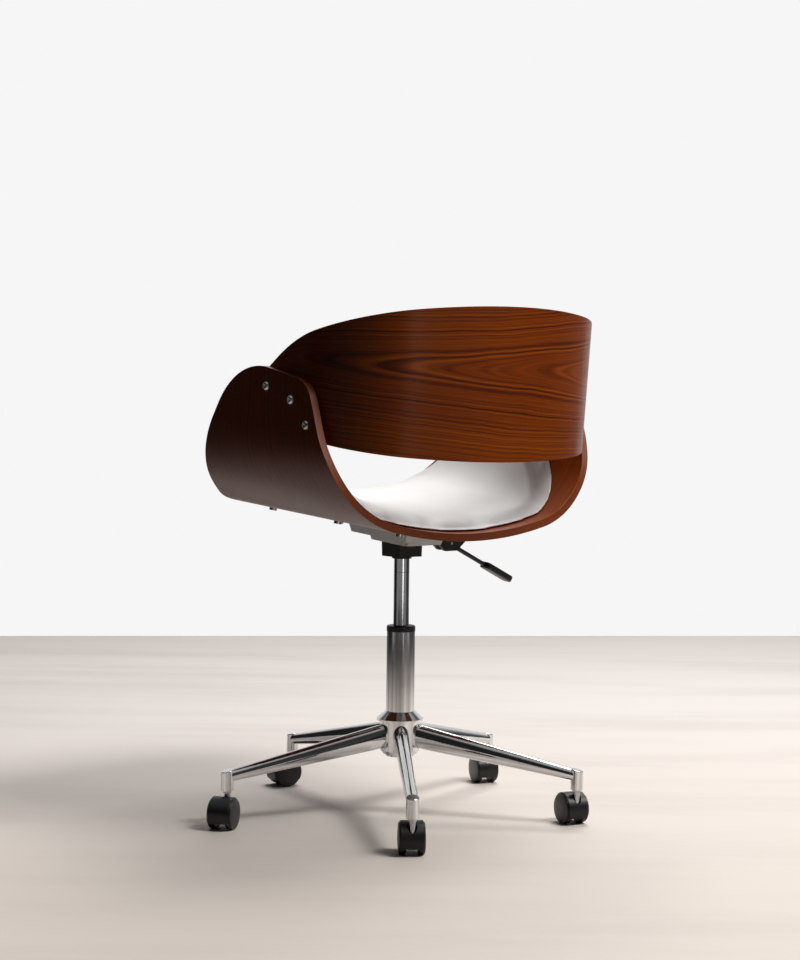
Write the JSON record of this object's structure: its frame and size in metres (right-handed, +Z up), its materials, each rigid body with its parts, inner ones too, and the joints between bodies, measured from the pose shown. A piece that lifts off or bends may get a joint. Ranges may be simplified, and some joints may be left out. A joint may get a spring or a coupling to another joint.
{
  "type": "desk chair",
  "caption": "Swivel desk chair with a bent walnut plywood seat and wrap-round back, white leather pads, a gas lift with a height lever and a chrome star base on twin-wheel casters.",
  "frame": {"origin": "on the floor, under the column's axis", "axes": "+Z up, the sitter faces -Y, +X to the sitter's left"},
  "size_m": [0.6908, 0.6597, 0.893],
  "materials": {
    "walnut": "satin lacquer",
    "white_leather": "smooth",
    "chrome": "polished",
    "base_alloy": "cast, chrome plated",
    "plate_metal": "satin paint",
    "caster_steel": "zinc plated",
    "steel": "plated",
    "lift_steel": "satin chrome",
    "black_plastic": "moulded",
    "caster_plastic": "moulded",
    "black_metal": "powder coat"
  },
  "bodies": {
    "base": {"hub": "base_alloy", "leg_1": "base_alloy", "leg_2": "base_alloy", "leg_3": "base_alloy", "leg_4": "base_alloy", "leg_5": "base_alloy", "column_tube": "chrome", "guide_bush": "black_plastic", "thrust_washer_lower": "steel", "thrust_cage": "black_plastic"},
    "rod": {"piston_rod": "steel", "thrust_washer_upper": "steel", "rod_clip": "steel"},
    "seat": {"lift_cylinder": "lift_steel", "rod_guide": "black_plastic", "lift_socket": "black_metal", "swivel_plate": "plate_metal", "plate_bolts": "steel", "lever_bracket": "black_metal", "lever_pin": "steel", "seat_shell": "walnut", "seat_pad": "white_leather", "pad_screws": "steel", "back_shell": "walnut", "back_pad": "white_leather", "arm_screws": "steel", "arm_washers": "steel", "arm_nuts": "steel"},
    "lever": {"lever": "black_metal", "lever_paddle": "black_plastic"},
    "valve": {"valve_pin": "steel"},
    "caster_1": {"caster_1_hood": "black_plastic", "caster_1_stem": "caster_steel", "caster_1_axle": "steel"},
    "caster_1_wheel_left": {"caster_1_wheel_left": "caster_plastic"},
    "caster_1_wheel_right": {"caster_1_wheel_right": "caster_plastic"},
    "caster_2": {"caster_2_hood": "black_plastic", "caster_2_stem": "caster_steel", "caster_2_axle": "steel"},
    "caster_2_wheel_left": {"caster_2_wheel_left": "caster_plastic"},
    "caster_2_wheel_right": {"caster_2_wheel_right": "caster_plastic"},
    "caster_3": {"caster_3_hood": "black_plastic", "caster_3_stem": "caster_steel", "caster_3_axle": "steel"},
    "caster_3_wheel_left": {"caster_3_wheel_left": "caster_plastic"},
    "caster_3_wheel_right": {"caster_3_wheel_right": "caster_plastic"},
    "caster_4": {"caster_4_hood": "black_plastic", "caster_4_stem": "caster_steel", "caster_4_axle": "steel"},
    "caster_4_wheel_left": {"caster_4_wheel_left": "caster_plastic"},
    "caster_4_wheel_right": {"caster_4_wheel_right": "caster_plastic"},
    "caster_5": {"caster_5_hood": "black_plastic", "caster_5_stem": "caster_steel", "caster_5_axle": "steel"},
    "caster_5_wheel_left": {"caster_5_wheel_left": "caster_plastic"},
    "caster_5_wheel_right": {"caster_5_wheel_right": "caster_plastic"}
  },
  "joints": [
    {"name": "seat_swivel", "type": "hinge", "parent": "base", "child": "rod", "pos_m": [0, 0, 0.12], "axis": [0, 0, 1], "continuous": true},
    {"name": "seat_height", "type": "slide", "parent": "rod", "child": "seat", "axis": [0, 0, 1], "range_m": [-0.1, 0]},
    {"name": "lever_hinge", "type": "hinge", "parent": "seat", "child": "lever", "pos_m": [-0.106, -0.00212, 0.48216], "axis": [0, 0.9978, -0.0663], "range_deg": [0, 4], "stiffness_Nm_per_rad": 1.5, "springref_deg": -2.86},
    {"name": "valve_press", "type": "slide", "parent": "seat", "child": "valve", "axis": [0, 0, 1], "range_m": [-0.0078, 0]},
    {"name": "caster_1_swivel", "type": "hinge", "parent": "base", "child": "caster_1", "pos_m": [0.17894, 0.26529, 0.06], "axis": [0, 0, 1], "continuous": true},
    {"name": "caster_1_wheel_left_spin", "type": "hinge", "parent": "caster_1", "child": "caster_1_wheel_left", "pos_m": [0.16888, 0.25037, 0.0265], "axis": [0.829, -0.5592, 0], "continuous": true},
    {"name": "caster_1_wheel_right_spin", "type": "hinge", "parent": "caster_1", "child": "caster_1_wheel_right", "pos_m": [0.16888, 0.25037, 0.0265], "axis": [0.829, -0.5592, 0], "continuous": true},
    {"name": "caster_2_swivel", "type": "hinge", "parent": "base", "child": "caster_2", "pos_m": [-0.19701, 0.25216, 0.06], "axis": [0, 0, 1], "continuous": true},
    {"name": "caster_2_wheel_left_spin", "type": "hinge", "parent": "caster_2", "child": "caster_2_wheel_left", "pos_m": [-0.20137, 0.2347, 0.0265], "axis": [0.9703, -0.2419, 0], "continuous": true},
    {"name": "caster_2_wheel_right_spin", "type": "hinge", "parent": "caster_2", "child": "caster_2_wheel_right", "pos_m": [-0.20137, 0.2347, 0.0265], "axis": [0.9703, -0.2419, 0], "continuous": true},
    {"name": "caster_3_swivel", "type": "hinge", "parent": "base", "child": "caster_3", "pos_m": [-0.3007, -0.10945, 0.06], "axis": [0, 0, 1], "continuous": true},
    {"name": "caster_3_wheel_left_spin", "type": "hinge", "parent": "caster_3", "child": "caster_3_wheel_left", "pos_m": [-0.30656, -0.12647, 0.0265], "axis": [0.9455, -0.3256, 0], "continuous": true},
    {"name": "caster_3_wheel_right_spin", "type": "hinge", "parent": "caster_3", "child": "caster_3_wheel_right", "pos_m": [-0.30656, -0.12647, 0.0265], "axis": [0.9455, -0.3256, 0], "continuous": true},
    {"name": "caster_4_swivel", "type": "hinge", "parent": "base", "child": "caster_4", "pos_m": [0.01117, -0.31981, 0.06], "axis": [0, 0, 1], "continuous": true},
    {"name": "caster_4_wheel_left_spin", "type": "hinge", "parent": "caster_4", "child": "caster_4_wheel_left", "pos_m": [0.02899, -0.32231, 0.0265], "axis": [0.1392, 0.9903, 0], "continuous": true},
    {"name": "caster_4_wheel_right_spin", "type": "hinge", "parent": "caster_4", "child": "caster_4_wheel_right", "pos_m": [0.02899, -0.32231, 0.0265], "axis": [0.1392, 0.9903, 0], "continuous": true},
    {"name": "caster_5_swivel", "type": "hinge", "parent": "base", "child": "caster_5", "pos_m": [0.3076, -0.0882, 0.06], "axis": [0, 0, 1], "continuous": true},
    {"name": "caster_5_wheel_left_spin", "type": "hinge", "parent": "caster_5", "child": "caster_5_wheel_left", "pos_m": [0.32198, -0.07737, 0.0265], "axis": [-0.6018, 0.7986, 0], "continuous": true},
    {"name": "caster_5_wheel_right_spin", "type": "hinge", "parent": "caster_5", "child": "caster_5_wheel_right", "pos_m": [0.32198, -0.07737, 0.0265], "axis": [-0.6018, 0.7986, 0], "continuous": true}
  ],
  "couplings": [
    {"joint": "valve_press", "follows": "lever_hinge", "m_per_rad": -0.106}
  ]
}
